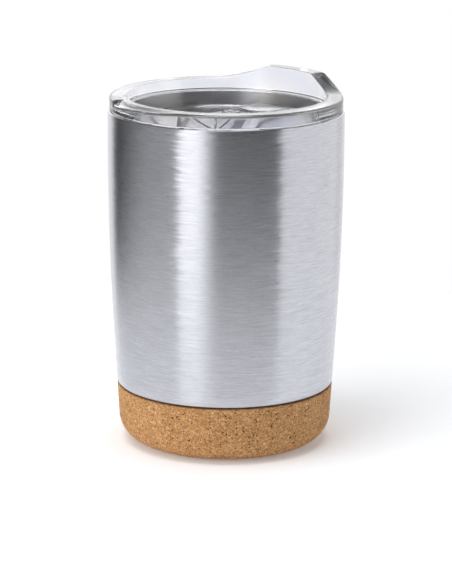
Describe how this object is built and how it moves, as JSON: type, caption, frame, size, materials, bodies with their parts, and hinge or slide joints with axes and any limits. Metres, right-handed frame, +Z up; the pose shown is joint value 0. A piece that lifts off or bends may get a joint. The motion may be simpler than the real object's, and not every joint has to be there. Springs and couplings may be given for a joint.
{
  "type": "insulated tumbler",
  "caption": "Double-wall steel tumbler with a gentle barrel taper, a rounded cork base and a clear press-in lid that has a raised mouthpiece and a sliding closure.",
  "frame": {"origin": "centre of the cork's flat underside, on the cup's axis", "axes": "+Z up along the cup's axis, +Y towards the lid's mouthpiece, +X to the right"},
  "size_m": [0.084, 0.084, 0.1304],
  "materials": {
    "shell_steel": "fine brushing round the wall",
    "liner_steel": "satin",
    "solder": "dull",
    "getter_metal": "matte",
    "bond": "matte",
    "cork": "pressed cork granules, matte",
    "lid_plastic": "clear, polished",
    "lid_silicone": "translucent, satin",
    "slider_plastic": "clear, polished"
  },
  "bodies": {
    "cup": {"outer_shell": "shell_steel", "inner_liner": "liner_steel", "shell_base_plate": "liner_steel", "vacuum_seal_bead": "solder", "vacuum_getter": "getter_metal", "cork_bond_pad": "bond", "cork_base": "cork"},
    "lid": {"lid_body": "lid_plastic", "lid_gasket": "lid_silicone"},
    "slider": {"lid_slider": "slider_plastic"}
  },
  "joints": [
    {"name": "lid_lift", "type": "slide", "parent": "cup", "child": "lid", "axis": [0, 0, 1], "range_m": [0, 0.03]},
    {"name": "slider_open", "type": "slide", "parent": "lid", "child": "slider", "axis": [0, -1, 0], "range_m": [0, 0.0135]}
  ]
}
